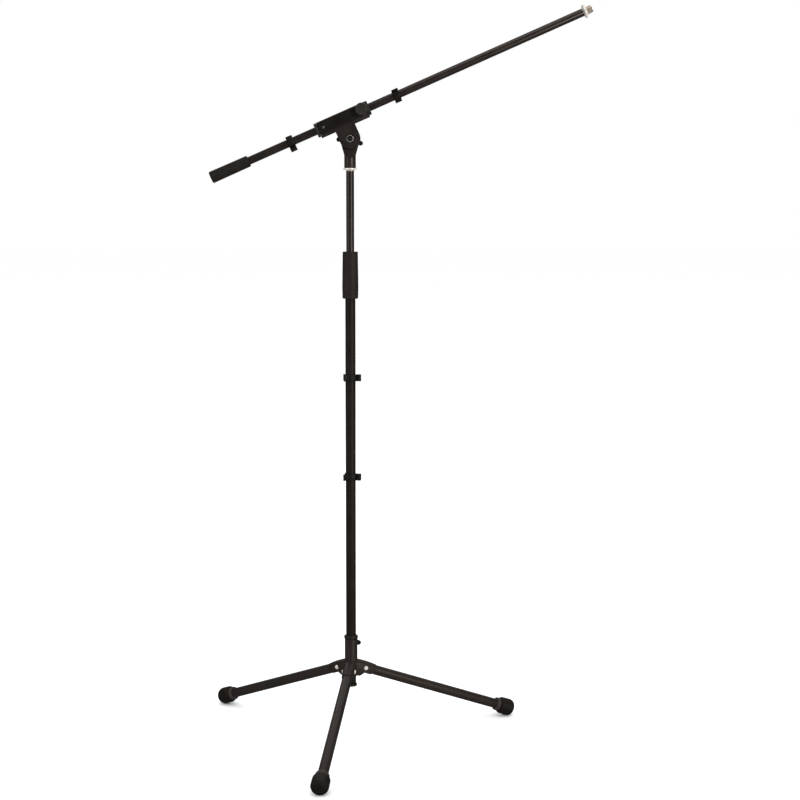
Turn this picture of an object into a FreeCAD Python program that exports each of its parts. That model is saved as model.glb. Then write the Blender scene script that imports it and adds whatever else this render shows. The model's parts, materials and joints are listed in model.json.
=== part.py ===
import FreeCAD, Part
import math
import os

# Boom microphone stand: three folding legs, a telescopic mast and a tilting boom.
# Millimetres. The mast stands on +Z through the origin, the floor is Z = 0,
# and the boom lies in the XZ plane, rising towards +X.

Vector = FreeCAD.Vector
x_axis = Vector(1, 0, 0)
y_axis = Vector(0, 1, 0)
z_axis = Vector(0, 0, 1)
origin = Vector(0, 0, 0)
overshoot = 1.0              # how far a cutting tool runs past a face
tolerance = 1e-4             # two places nearer than this are the same

# Fits
running_fit = 0.05           # radial play of a shaft, tube or pin that turns or slides
press_gap = 0.02             # radial play where a plug is pressed or glued in
moving_gap = 0.3             # between faces of pieces that move past each other
seat_gap = 0.2               # between a turning piece and the face behind it

# Tubes, outer radius and wall
leg_tube_radius = 10.0
leg_tube_wall = 1.2
lower_tube_radius = 10.25
lower_tube_wall = 1.2
upper_tube_radius = 8.0
upper_tube_wall = 1.0
boom_tube_radius = 8.0
boom_tube_wall = 1.0

# Stance
leg_count = 3
stance_turn = 9.4            # degrees that the front leg is turned from -Y towards -X
leg_pivot_radius = 28.5
leg_pivot_height = 141.5
foot_circle_radius = 365.1   # mast axis to the end of a leg's axis
foot_axis_height = 16.0

# Mast
hub_drop = 14.5              # from the leg pivots down to the hub's lower face
hub_height = 77.1
lower_tube_overhang = 17.8   # of the lower tube below the hub
lower_tube_length = 851.0
upper_tube_length = 800.0
mast_extension = 163.1       # from the clutch up to the lock ring, as set
tilt_pivot_rise = 61.9       # of the boom's pivot above the lock ring's seat

# Hub casting and its liner
socket_wall = 1.45           # outside the liner
socket_bore_play = 0.35      # casting to lower tube, the liner guides it
arm_wall = 2.0               # beside each leg, and above it at the socket
arm_crown = 0.9              # how much fuller the roof is over the pivot
arm_mouth_wall = 0.9         # of the roof at the arm's outer end
arm_reach = 25.0             # roof of an arm beyond the leg pivot
arm_root = 26.0              # arm inward from the leg pivot, along the leg
arm_mouth_rise = 4.9         # where an arm's end starts to slope back, above the leg's axis
arm_lobe_drop = 19.5         # lowest point of a cheek below the leg's axis
lobe_corner_in = 4.85
lobe_corner_up = 3.23
liner_wall = 1.4
liner_depth = 40.1
liner_bead_width = 2.75      # how far the bead stands out from the liner
liner_bead_height = 8.1
liner_bead_round = 3.24
rivet_radius = 3.0
rivet_head_radius = 4.6
rivet_head_height = 2.2
rivet_head_round = 1.76

# Leg details
knuckle_length = 13.0        # solid end beyond the pivot, outside the tube
knuckle_spigot = 28.0        # the part of it inside the tube
boot_radius = 17.6
boot_length = 43.0
boot_collar_radius = 14.0
boot_collar_length = 9.0
boot_end_cover = 8.0         # rubber beyond the end of the tube
boot_nose_round = 9.0
boot_shoulder = 4.5

# Winged knobs
wing_root = 0.7              # half width of a wing in the boss, as a share of the boss's radius

# Hub clamp screw
hub_screw_turn = 80.6        # degrees from +X, between the two rear legs
hub_screw_drop = 11.1        # below the top of the socket
hub_screw_radius = 3.0
hub_screw_boss_radius = 7.5
hub_screw_boss_reach = 5.6   # beyond the socket
hub_knob_length = 13.0
hub_knob_boss_radius = 8.0
hub_knob_span = 17.0         # mast-screw axis to the end of a wing
hub_knob_tip_radius = 4.6
hub_knob_thickness = 7.0
hub_knob_round = 1.5
hub_screw_depth = 9.1        # of the screw in its knob
hub_knob_turn = 18.0         # how far the wings are turned from level, degrees

# Lower end cap
end_cap_rim = 1.9            # how far the cap stands out from the tube
end_cap_flange = 4.6
end_cap_round = 1.5
end_cap_spigot = 22.0

# Height clutch
clutch_length = 94.6
clutch_cover = 51.9          # of the grip over the end of the lower tube
clutch_grip_wall = 1.1       # at the thin upper end
clutch_grip_swell = 1.0      # how much wider it is at its fullest
clutch_full_length = 24.0    # from the lower end up to where it is fullest
clutch_foot_taper = 0.55     # how much it draws in again at the lower end
clutch_grip_round = 1.4
clutch_end_wall = 1.0        # rubber above the shell
clutch_shell_wall = 1.6
clutch_insert_wall = 2.35
clutch_insert_cover = 46.0   # length of the insert on the lower tube
clutch_insert_rise = 8.0     # the insert above the end of the lower tube
collet_length = 15.0
collet_slit = 1.6
thrust_ring_height = 4.0
clutch_lip = 6.0             # end wall of the shell, round the upper tube

# Upper tube's glide and plug
glide_length = 30.0
glide_clip_height = 2.0
plug_play = 0.4              # of the plug and the clip in the lower tube
plug_flange = 4.0
plug_depth = 18.0

# Threaded spigots, the 3/8 inch stud and the 5/8 inch adapter
stud_radius = 4.76
stud_chamfer = 0.8
spigot_depth = 26.0
spigot_flange = 2.5
lock_ring_radius = 14.4
lock_ring_height = 3.6
lock_ring_chamfer = 0.5
mast_stud_length = 20.0
microphone_thread_radius = 7.94
adapter_length = 12.7
adapter_slot_half_width = 1.19
adapter_slot_depth = 1.59
boom_ring_radius = 14.0
boom_ring_height = 4.8
boom_stud_length = 13.5

# Swivel socket
collar_radius = 11.65
collar_rise = 30.0           # top of the collar above the lock ring's seat
cheek_radius = 20.0
cheek_thickness = 11.0
cheek_lean = 15.0            # degrees, of the flanks that run down to the collar
web_tip_drop = 8.4           # point of the front web below the top of the collar
web_front = 12.4             # how far the web stands in front of the mast axis
friction_disc_thickness = 1.0
friction_disc_radius = 18.0

# Boom clamp, in the boom's own directions: along the boom, up across it, and depth
boom_elevation = 23.85       # degrees at rest
boom_axis_rise = 41.3        # from the tilt pivot, square to the boom
block_left = -50.6
block_right = 54.5
block_wall = 4.2             # round the bore, above and beside it
block_floor = 0.5            # below the bore, where the lower rail starts
rail_height = 7.0
rail_inset = 2.0             # of the rail behind the block's faces
block_edge_round = 4.5
ear_half_width = 21.0
ear_front = 12.8
ear_round = 1.2
bolt_radius = 4.0
bolt_head_flats = 13.0
bolt_head_height = 5.2
bolt_head_chamfer = 1.0
bolt_recess_radius = 8.2
bolt_recess_depth = 6.2
rear_washer_radius = 9.5
rear_washer_thickness = 1.5

# Tilt handle
handle_length = 20.0
handle_boss_radius = 9.5
handle_span = 27.5
handle_tip_radius = 4.6
handle_thickness = 8.5
handle_round = 2.0
handle_turn = -9.5           # degrees of the whole handle from level
handle_wing_droop = 9.5      # degrees that each wing hangs
handle_insert_radius = 6.5
handle_insert_length = 12.0
handle_end_wall = 3.0

# Bushes of the boom
bush_wall = 1.9
bush_flange_width = 4.65     # how far the flange stands out from the sleeve
bush_flange = 5.2
bush_flange_round = 1.2
bush_gap = 0.5               # between the two sleeves inside the block
bush_slit = 1.4

# Boom clamp knob
boom_knob_along = 44.0
boom_knob_rise = 1.6
boom_knob_radius = 13.0
boom_knob_round = 2.0
boom_knob_length = 15.0
boom_knob_skirt_length = 3.0
boom_knob_skirt_radius = 9.0
boom_knob_stud_radius = 3.0
boom_knob_stud_rise = 11.3   # from the block to the stud's end in the knob
boom_knob_standoff = 1.2
shoe_radius = 6.0
shoe_length = 3.0
bush_pin_along = -39.3
bush_pin_radius = 1.2
bush_pin_head_radius = 2.4
bush_pin_head = 0.8
bush_pin_head_round = 0.56

# Boom
boom_tube_left = -281.0
boom_tube_right = 526.0
boom_grip_left = -286.4
boom_grip_length = 83.3
boom_grip_wall = 4.08
boom_grip_taper = 0.6
boom_grip_end_round = 3.0
boom_plug_depth = 16.0
boom_plug_flange = 2.0

# Cable clips: a large C on a tube and a small C for the cable
clip_length = 13.4
clip_wall = 2.5
clip_mouth = 50.0            # half angle of the large C's opening, degrees
clip_lip_lean = 20.0         # degrees, of the lips outwards from the mouth
clip_lip_reach = 5.8
clip_lip_end_radius = 1.2
cable_radius = 3.7
cable_wall = 2.1
cable_mouth = 48.0           # half angle of the small C's opening, degrees
mast_clip_drops = (161.3, 365.3)     # below the clutch
mast_clip_turns = (4.0, -8.0)
boom_clip_places = (-111.0, 119.9)
boom_clip_turns = (-90.0, 155.0)

# Places that follow from the sizes above
leg_run = foot_circle_radius - leg_pivot_radius
leg_drop = leg_pivot_height - foot_axis_height
leg_droop = math.degrees(math.atan2(leg_drop, leg_run))
leg_length = math.hypot(leg_run, leg_drop)
hub_bottom = leg_pivot_height - hub_drop
socket_top = hub_bottom + hub_height
liner_bottom = socket_top - liner_depth
hub_screw_height = socket_top - hub_screw_drop
lower_tube_bottom = hub_bottom - lower_tube_overhang
leg_turns = [-90 - stance_turn + i * 360 / leg_count for i in range(leg_count)]
leg_names = ("front", "right", "left")
arm_inner = leg_tube_radius + moving_gap
arm_outer = arm_inner + arm_wall
socket_bore = lower_tube_radius + socket_bore_play
liner_bore = lower_tube_radius + running_fit
liner_radius = liner_bore + liner_wall
liner_bead_radius = liner_radius + liner_bead_width
socket_radius = liner_radius + socket_wall
hub_screw_boss_end = socket_radius + hub_screw_boss_reach
end_cap_radius = lower_tube_radius + end_cap_rim
lower_tube_top = lower_tube_bottom + lower_tube_length
lower_tube_bore = lower_tube_radius - lower_tube_wall
upper_tube_bore = upper_tube_radius - upper_tube_wall
boom_tube_bore = boom_tube_radius - boom_tube_wall
leg_tube_bore = leg_tube_radius - leg_tube_wall
stop_radius = lower_tube_bore - plug_play
clutch_bottom = lower_tube_top - clutch_cover
clutch_top = clutch_bottom + clutch_length
mast_clip_heights = [clutch_bottom - drop for drop in mast_clip_drops]
ring_bottom = clutch_top + mast_extension
tilt_pivot_height = ring_bottom + tilt_pivot_rise
collar_top = ring_bottom + collar_rise
web_tip_height = collar_top - web_tip_drop
upper_tube_top = ring_bottom - spigot_flange
upper_tube_bottom = upper_tube_top - upper_tube_length
insert_radius = lower_tube_radius + clutch_insert_wall
insert_top = lower_tube_top + clutch_insert_rise
shell_bore = insert_radius + running_fit
shell_radius = shell_bore + clutch_shell_wall
tube_guide_bore = upper_tube_radius + running_fit
boom_ring_seat = boom_tube_right + spigot_flange
adapter_start = boom_ring_seat + boom_ring_height + seat_gap
cheek_face = friction_disc_thickness / 2
cheek_back = cheek_face + cheek_thickness
ear_back = cheek_face + seat_gap
bush_bore = boom_tube_radius + running_fit
bush_radius = bush_bore + bush_wall
bush_flange_radius = bush_radius + bush_flange_width
block_bore = bush_radius + running_fit
block_half_depth = block_bore + block_wall
block_top = block_half_depth
block_step = -block_bore - block_floor
block_bottom = block_step - rail_height
rail_half_depth = block_half_depth - rail_inset
boom_grip_radius = boom_tube_radius + press_gap + boom_grip_wall
rear_washer_face = cheek_back + seat_gap
handle_face = rear_washer_face + rear_washer_thickness + seat_gap


# ---- shape helpers

def tube(radius, bore, bottom, top):
    outer = Part.makeCylinder(radius, top - bottom, Vector(0, 0, bottom))
    if bore <= 0:
        return outer
    hole = Part.makeCylinder(bore, top - bottom + 2 * overshoot, Vector(0, 0, bottom - overshoot))
    return outer.cut(hole)


def rod(radius, bottom, top):
    return Part.makeCylinder(radius, top - bottom, Vector(0, 0, bottom))


def rod_along(axis, radius, start, end):
    return Part.makeCylinder(radius, end - start, axis * start, axis)


def block(low, high):
    size = Vector(*high) - Vector(*low)
    return Part.makeBox(size.x, size.y, size.z, Vector(*low))


def polygon_face(points):
    wire = Part.makePolygon([Vector(*p) for p in points] + [Vector(*points[0])])
    return Part.Face(wire)


def turned(profile):
    """A solid of revolution about Z from (radius, height) corners."""
    face = polygon_face([(r, 0, z) for r, z in profile])
    return face.revolve(origin, z_axis, 360)


def is_rim(edge, height, radius):
    curve = edge.Curve
    if not isinstance(curve, Part.Circle):
        return False
    return abs(curve.Center.z - height) < tolerance and abs(curve.Radius - radius) < tolerance


def rounded_rims(shape, rims, size):
    """Round the circular edges about Z that are given as (height, radius)."""
    chosen = [e for e in shape.Edges if any(is_rim(e, z, r) for z, r in rims)]
    return shape.makeFillet(size, chosen)


def chamfered_rims(shape, rims, size):
    chosen = [e for e in shape.Edges if any(is_rim(e, z, r) for z, r in rims)]
    return shape.makeChamfer(size, chosen)


def rounded_edges_along(shape, direction, size, keep):
    """Round the straight edges along a direction whose middle passes the test."""
    chosen = []
    for edge in shape.Edges:
        if isinstance(edge.Curve, Part.Line) and abs(abs(edge.tangentAt(0) * direction) - 1) < 1e-6:
            if keep(edge.CenterOfMass):
                chosen.append(edge)
    return shape.makeFillet(size, chosen)


def moved(shape, vector):
    result = shape.copy()
    result.translate(vector)
    return result


def rotated(shape, axis, degrees, centre=origin):
    result = shape.copy()
    result.rotate(centre, axis, degrees)
    return result


def z_to_x(shape):
    return rotated(shape, y_axis, 90)


def z_to_y(shape):
    return rotated(shape, x_axis, -90)


def direction(degrees):
    return Vector(math.cos(math.radians(degrees)), math.sin(math.radians(degrees)), 0)


def tapered_bar(start, start_radius, end, end_radius, bottom, top):
    """A flat bar with round ends, seen along Z."""
    along = end - start
    span = along.Length
    along = along / span
    across = Vector(-along.y, along.x, 0)
    lean = (start_radius - end_radius) / span
    spread = math.sqrt(1 - lean ** 2)
    left = along * lean + across * spread
    right = along * lean - across * spread
    corners = [
        start + left * start_radius,
        end + left * end_radius,
        end + right * end_radius,
        start + right * start_radius,
    ]
    height = Vector(0, 0, top - bottom)
    web = polygon_face([(p.x, p.y, bottom) for p in corners]).extrude(height)
    ends = [
        Part.makeCylinder(start_radius, top - bottom, start + Vector(0, 0, bottom)),
        Part.makeCylinder(end_radius, top - bottom, end + Vector(0, 0, bottom)),
    ]
    return web.fuse(ends).removeSplitter()


def hexagon(flats, bottom, top):
    corner = flats / math.sqrt(3)
    points = [direction(60 * i) * corner for i in range(6)]
    face = polygon_face([(p.x, p.y, bottom) for p in points])
    return face.extrude(Vector(0, 0, top - bottom))


# ---- placing helpers

def on_leg(shape, turn):
    """From a leg's own frame, X out along the leg from its pivot, to the stand's."""
    result = rotated(shape, y_axis, leg_droop)
    result = moved(result, Vector(leg_pivot_radius, 0, leg_pivot_height))
    return rotated(result, z_axis, turn)


def on_head(shape):
    """From the boom's directions, centred on the tilt pivot, to the stand's."""
    result = rotated(shape, y_axis, -boom_elevation)
    return moved(result, Vector(0, 0, tilt_pivot_height))


def on_boom(shape):
    """From a shape turned about Z at the boom's axis to its place on the boom."""
    return on_head(moved(z_to_x(shape), Vector(0, 0, boom_axis_rise)))


# ---- tripod

def arm_roof(crown):
    """A barrel about the leg's axis, fullest over the pivot and thin at the arm's mouth."""
    root = Vector(-arm_root, 0, arm_outer)
    mouth = Vector(arm_reach, 0, arm_inner + arm_mouth_wall)
    root_foot = Vector(root.x, 0, 0)
    mouth_foot = Vector(mouth.x, 0, 0)
    outline = Part.Wire([
        Part.Arc(root, Vector(0, 0, crown), mouth).toShape(),
        Part.makeLine(mouth, mouth_foot),
        Part.makeLine(mouth_foot, root_foot),
        Part.makeLine(root_foot, root),
    ])
    return Part.Face(outline).revolve(origin, x_axis, 360)


def hub_arm():
    """One arm in its leg's frame: a roof and two cheeks round the leg's end."""
    crown = arm_outer + arm_crown
    roof = arm_roof(crown)
    roof = roof.common(block((-arm_root, -arm_outer, 0), (arm_reach, arm_outer, crown)))
    cheeks = block((-arm_root, -arm_outer, -arm_lobe_drop), (arm_reach, arm_outer, 0))
    lobe_slope = arm_lobe_drop - arm_inner
    outline = polygon_face([
        (-arm_root, -arm_outer, crown + overshoot),
        (arm_reach, -arm_outer, crown + overshoot),
        (arm_reach, -arm_outer, arm_mouth_rise),
        (arm_reach - arm_inner, -arm_outer, -arm_inner),
        (0, -arm_outer, -arm_inner),
        (-lobe_corner_in, -arm_outer, -arm_lobe_drop + lobe_corner_up),
        (-lobe_slope, -arm_outer, -arm_lobe_drop),
        (-arm_root, -arm_outer, -arm_lobe_drop),
    ]).extrude(Vector(0, 2 * arm_outer, 0))
    return roof.fuse(cheeks).common(outline)


def arm_clearance():
    """The space that a leg's end needs from open to folded."""
    swing_end = arm_reach + overshoot
    under = block((-arm_inner, -arm_inner, -arm_lobe_drop - overshoot), (swing_end, arm_inner, 0))
    along = rod_along(x_axis, arm_inner, 0, swing_end)
    end = Part.makeSphere(arm_inner)
    pin = rod_along(y_axis, rivet_radius + press_gap, -arm_outer - overshoot, arm_outer + overshoot)
    return under.fuse([along, end, pin])


def hub_casting():
    column = rod(socket_radius, hub_bottom, socket_top)
    screw_way = direction(hub_screw_turn)
    screw_foot = Vector(0, 0, hub_screw_height)
    boss = Part.makeCylinder(hub_screw_boss_radius, hub_screw_boss_end, screw_foot, screw_way)
    body = column.fuse([boss] + [on_leg(hub_arm(), turn) for turn in leg_turns])
    below = rod(2 * leg_pivot_radius, hub_bottom - arm_lobe_drop, hub_bottom)
    screw_hole = Part.makeCylinder(
        hub_screw_radius + running_fit, hub_screw_boss_end + overshoot, screw_foot, screw_way)
    bore = rod(socket_bore, hub_bottom - overshoot, liner_bottom + overshoot)
    liner_seat = rod(liner_radius + press_gap, liner_bottom, socket_top + overshoot)
    cuts = [below, screw_hole, bore, liner_seat] + [on_leg(arm_clearance(), t) for t in leg_turns]
    return body.cut(cuts).removeSplitter()


def hub_liner():
    bead_top = socket_top + liner_bead_height
    sleeve = tube(liner_radius, 0, liner_bottom, bead_top)
    bead = rod(liner_bead_radius, socket_top, bead_top)
    bead = rounded_rims(
        bead, [(socket_top, liner_bead_radius), (bead_top, liner_bead_radius)], liner_bead_round)
    bore = rod(liner_bore, liner_bottom - overshoot, bead_top + overshoot)
    screw_hole = Part.makeCylinder(
        hub_screw_radius + seat_gap, socket_radius + overshoot,
        Vector(0, 0, hub_screw_height), direction(hub_screw_turn))
    return sleeve.fuse(bead).cut([bore, screw_hole])


def leg_rivet():
    """In the leg's frame, square across the arm's cheeks."""
    end = arm_outer + rivet_head_height
    pin = rod(rivet_radius, -end, end)
    heads = [rod(rivet_head_radius, arm_outer, end), rod(rivet_head_radius, -end, -arm_outer)]
    rivet = pin.fuse(heads).removeSplitter()
    rims = [(end, rivet_head_radius), (-end, rivet_head_radius)]
    return z_to_y(rounded_rims(rivet, rims, rivet_head_round))


def leg_knuckle():
    spigot = rod_along(x_axis, leg_tube_bore - press_gap, 0, knuckle_length + knuckle_spigot)
    stub = rod_along(x_axis, leg_tube_radius, 0, knuckle_length)
    end = Part.makeSphere(leg_tube_radius)
    hole = rod_along(y_axis, rivet_radius + running_fit, -2 * leg_tube_radius, 2 * leg_tube_radius)
    return stub.fuse([spigot, end]).cut(hole).removeSplitter()


def leg_tube():
    return z_to_x(tube(leg_tube_radius, leg_tube_bore, knuckle_length, leg_length))


def foot_boot():
    """Turned about the leg's axis, cut flat where it stands on the floor."""
    end = leg_length + boot_end_cover
    start = end - boot_length
    body_start = start + boot_collar_length
    outer = turned([
        (0, start), (boot_collar_radius, start), (boot_collar_radius, body_start),
        (boot_radius - boot_shoulder / 2, body_start), (boot_radius, body_start + boot_shoulder),
        (boot_radius, end), (0, end),
    ])
    outer = rounded_rims(outer, [(end, boot_radius)], boot_nose_round)
    socket = rod(leg_tube_radius + press_gap, start - overshoot, leg_length + press_gap)
    return z_to_x(outer.cut(socket))


def below_floor():
    reach = foot_circle_radius + boot_length
    return rod(reach, -2 * boot_radius, 0)


# ---- hub clamp

def wing(span, sweep, boss_radius, tip_radius, bottom, top, edge):
    """One wing of a handle that turns about Z, leaning by its sweep."""
    tip = direction(sweep) * (span - tip_radius)
    bar = tapered_bar(origin, boss_radius * wing_root, tip, tip_radius, bottom, top)
    outline = [e for e in bar.Edges if e.BoundBox.ZLength < tolerance]
    return bar.makeFillet(edge, outline)


def wing_knob(length, boss_radius, span, tip_radius, thickness, droop, edge):
    """A two-winged knob about Z, from its seat at 0 to its outer end."""
    boss = rounded_rims(rod(boss_radius, 0, length), [(length, boss_radius)], edge)
    top = length - edge
    low = top - thickness
    wings = [
        wing(span, -droop, boss_radius, tip_radius, low, top, edge),
        wing(span, 180 + droop, boss_radius, tip_radius, low, top, edge),
    ]
    return boss.fuse(wings).removeSplitter()


def on_hub_screw(shape):
    """From a shape turned about Z to the clamp screw's axis, wings near level."""
    result = z_to_x(rotated(shape, z_axis, 90 + hub_knob_turn))
    result = moved(result, Vector(0, 0, hub_screw_height))
    return rotated(result, z_axis, hub_screw_turn)


def hub_screw():
    knob_seat = hub_screw_boss_end + seat_gap
    inner = lower_tube_radius + seat_gap
    return on_hub_screw(rod(hub_screw_radius, inner, knob_seat + hub_screw_depth))


def hub_knob():
    knob_seat = hub_screw_boss_end + seat_gap
    knob = wing_knob(
        hub_knob_length, hub_knob_boss_radius, hub_knob_span, hub_knob_tip_radius,
        hub_knob_thickness, 0, hub_knob_round)
    hole = rod(hub_screw_radius + press_gap, -overshoot, hub_screw_depth + press_gap)
    return on_hub_screw(moved(knob.cut(hole), Vector(0, 0, knob_seat)))


# ---- mast

def lower_tube():
    return tube(lower_tube_radius, lower_tube_bore, lower_tube_bottom, lower_tube_top)


def lower_end_cap():
    flange = rod(end_cap_radius, lower_tube_bottom - end_cap_flange, lower_tube_bottom)
    flange = rounded_rims(flange, [(lower_tube_bottom - end_cap_flange, end_cap_radius)], end_cap_round)
    spigot = tube(
        lower_tube_bore - press_gap, lower_tube_bore - 2 * lower_tube_wall,
        lower_tube_bottom, lower_tube_bottom + end_cap_spigot)
    return flange.fuse(spigot)


def clutch_insert():
    """Screwed on the lower tube; its mouth is the collet's seat."""
    bottom = lower_tube_top - clutch_insert_cover
    sleeve = tube(insert_radius, lower_tube_radius + press_gap, bottom, lower_tube_top)
    head = tube(insert_radius, tube_guide_bore + moving_gap, lower_tube_top, insert_top)
    return sleeve.fuse(head).removeSplitter()


def clutch_collet():
    """A split ring round the upper tube, tapered where the thrust ring pushes it."""
    bottom = insert_top
    top = bottom + collet_length
    wall = clutch_insert_wall
    ring = turned([
        (tube_guide_bore, bottom), (tube_guide_bore + wall, bottom),
        (tube_guide_bore + wall, bottom + collet_length / 2),
        (tube_guide_bore + wall / 2, top), (tube_guide_bore, top),
    ])
    slit = block((0, -collet_slit / 2, bottom - overshoot),
                 (insert_radius, collet_slit / 2, top + overshoot))
    return ring.cut(slit)


def thrust_ring():
    bottom = insert_top + collet_length + seat_gap
    return tube(insert_radius, tube_guide_bore + moving_gap, bottom, bottom + thrust_ring_height)


def clutch_shell():
    """The hard inside of the grip, threaded on the insert."""
    bottom = lower_tube_top - clutch_insert_cover
    top = clutch_top - clutch_end_wall
    shell = tube(shell_radius, shell_bore, bottom, top - clutch_lip)
    lip = tube(shell_radius, tube_guide_bore + moving_gap, top - clutch_lip, top)
    return shell.fuse(lip).removeSplitter()


def clutch_grip():
    """A rubber sleeve on the shell, slightly fuller at its lower end."""
    thin = shell_radius + clutch_grip_wall
    thick = thin + clutch_grip_swell
    foot = thick - clutch_foot_taper
    outer = turned([
        (0, clutch_bottom), (foot, clutch_bottom), (thick, clutch_bottom + clutch_full_length),
        (thin, clutch_top), (0, clutch_top),
    ])
    outer = rounded_rims(outer, [(clutch_bottom, foot), (clutch_top, thin)], clutch_grip_round)
    bore = rod(shell_radius + press_gap, clutch_bottom - overshoot, clutch_top - clutch_end_wall)
    mouth = rod(tube_guide_bore + 2 * moving_gap, clutch_bottom, clutch_top + overshoot)
    return outer.cut([bore, mouth])


def upper_tube():
    return tube(upper_tube_radius, upper_tube_bore, upper_tube_bottom, upper_tube_top)


def tube_plug(tube_bore, flange_radius):
    """An end plug at Z = 0 that closes a tube standing on it."""
    flange = rod(flange_radius, -plug_flange, 0)
    spigot = rod(tube_bore - press_gap, 0, plug_depth)
    return flange.fuse(spigot).removeSplitter()


def upper_tube_plug():
    shape = tube_plug(upper_tube_bore, stop_radius)
    return moved(shape, Vector(0, 0, upper_tube_bottom))


def glide_bush():
    """Slides in the lower tube, and the upper tube turns in it."""
    bottom = upper_tube_bottom + moving_gap
    return tube(lower_tube_bore - running_fit, tube_guide_bore, bottom, bottom + glide_length)


def glide_clip():
    bottom = upper_tube_bottom + 2 * moving_gap + glide_length
    ring = tube(
        stop_radius, upper_tube_radius + press_gap,
        bottom, bottom + glide_clip_height)
    top = bottom + glide_clip_height
    slot = block((0, -collet_slit, bottom - overshoot), (insert_radius, collet_slit, top + overshoot))
    return ring.cut(slot)


def threaded_spigot(tube_radius, tube_bore, stud_length):
    """A plug at Z = 0 in a tube below it, with a flange and a stud above."""
    plug = rod(tube_bore - press_gap, -spigot_depth, 0)
    flange = rod(tube_radius, 0, spigot_flange)
    stud = rod(stud_radius, spigot_flange, spigot_flange + stud_length)
    stud = chamfered_rims(stud, [(spigot_flange + stud_length, stud_radius)], stud_chamfer)
    return plug.fuse([flange, stud]).removeSplitter()


def mast_spigot():
    shape = threaded_spigot(upper_tube_radius, upper_tube_bore, mast_stud_length)
    return moved(shape, Vector(0, 0, upper_tube_top))


def lock_ring(radius, height):
    """A thin nut on a stud, from Z = 0."""
    ring = tube(radius, stud_radius + running_fit, 0, height)
    return chamfered_rims(ring, [(0, radius), (height, radius)], lock_ring_chamfer)


def head_lock_ring():
    ring = lock_ring(lock_ring_radius, lock_ring_height - seat_gap)
    return moved(ring, Vector(0, 0, ring_bottom + seat_gap))


# ---- swivel head

def head_outline(front, back, half_width_top, half_width_bottom, top, bottom):
    """A tapering plate in the XZ plane between two depths."""
    face = polygon_face([
        (-half_width_bottom, front, bottom), (half_width_bottom, front, bottom),
        (half_width_top, front, top), (-half_width_top, front, top),
    ])
    return face.extrude(Vector(0, back - front, 0))


def swivel_socket():
    """A collar on the mast's stud that carries the rear half of the tilt joint."""
    pivot = Vector(0, 0, tilt_pivot_height)
    collar_bottom = ring_bottom + lock_ring_height + seat_gap
    collar = rod(collar_radius, collar_bottom, collar_top)
    lean = math.radians(cheek_lean)
    taper_top = tilt_pivot_height - cheek_radius * math.sin(lean)
    taper_half = cheek_radius * math.cos(lean)
    plate = head_outline(cheek_face, cheek_back, taper_half, collar_radius, taper_top, collar_top)
    disc = Part.makeCylinder(cheek_radius, cheek_thickness, pivot + y_axis * cheek_face, y_axis)
    slope = (taper_half - collar_radius) / (taper_top - collar_top)
    web_top = tilt_pivot_height - ear_half_width - 2 * moving_gap
    web_half = collar_radius + slope * (web_top - collar_top)
    web = polygon_face([
        (0, -web_front, web_tip_height), (collar_radius, -web_front, collar_top),
        (web_half, -web_front, web_top), (-web_half, -web_front, web_top),
        (-collar_radius, -web_front, collar_top),
    ]).extrude(Vector(0, web_front + cheek_back, 0))
    neck = rod(collar_radius, collar_top, web_top)
    body = collar.fuse([plate, disc, web, neck])
    stud_top = ring_bottom + mast_stud_length + overshoot
    stud_hole = rod(stud_radius + press_gap, collar_bottom - overshoot, stud_top)
    bolt_hole = Part.makeCylinder(
        bolt_radius + running_fit, cheek_thickness + 2 * overshoot,
        pivot + y_axis * (cheek_face - overshoot), y_axis)
    return body.cut([stud_hole, bolt_hole]).removeSplitter()


def friction_disc():
    disc = tube(friction_disc_radius, bolt_radius + running_fit, -cheek_face, cheek_face)
    return moved(z_to_y(disc), Vector(0, 0, tilt_pivot_height))


def clamp_body():
    """The boom's housing and the ear below it, in the boom's directions."""
    def lengthwise(half_depth, low, high):
        return block((block_left, -half_depth, boom_axis_rise + low),
                     (block_right, half_depth, boom_axis_rise + high))
    upper = lengthwise(block_half_depth, block_step, block_top)
    middle = boom_axis_rise
    upper = rounded_edges_along(upper, x_axis, block_edge_round, lambda p: p.z > middle)
    rail = lengthwise(rail_half_depth, block_bottom, block_step)
    ear_depth = ear_front - ear_back
    ear = block((-ear_half_width, -ear_front, 0),
                (ear_half_width, -ear_back, boom_axis_rise + block_step))
    disc = Part.makeCylinder(ear_half_width, ear_depth, Vector(0, -ear_front, 0), y_axis)
    ear = ear.fuse(disc).removeSplitter()
    front_edges = [e for e in ear.Edges if abs(e.BoundBox.YMax + ear_front) < tolerance
                   and e.BoundBox.ZMin < boom_axis_rise + block_step - tolerance]
    ear = ear.makeFillet(ear_round, front_edges)
    body = upper.fuse([rail, ear])
    bore = moved(rod_along(x_axis, block_bore, block_left - overshoot, block_right + overshoot),
                 Vector(0, 0, boom_axis_rise))
    recess = rod_along(y_axis, bolt_recess_radius, -ear_front - overshoot, -ear_front + bolt_recess_depth)
    bolt_hole = rod_along(y_axis, bolt_radius + press_gap, -ear_front, 0)
    knob_axis = Vector(boom_knob_along, 0, boom_axis_rise + boom_knob_rise)
    shoe_way = Part.makeCylinder(
        shoe_radius + press_gap, block_half_depth - shoe_length, knob_axis, -y_axis)
    stud_way = Part.makeCylinder(
        boom_knob_stud_radius + running_fit, block_half_depth + overshoot, knob_axis, -y_axis)
    pin_axis = Vector(bush_pin_along, 0, boom_axis_rise)
    pin_way = Part.makeCylinder(
        bush_pin_radius + press_gap, block_half_depth + overshoot, pin_axis, -y_axis)
    return on_head(body.cut([bore, recess, bolt_hole, shoe_way, stud_way, pin_way]).removeSplitter())


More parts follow.
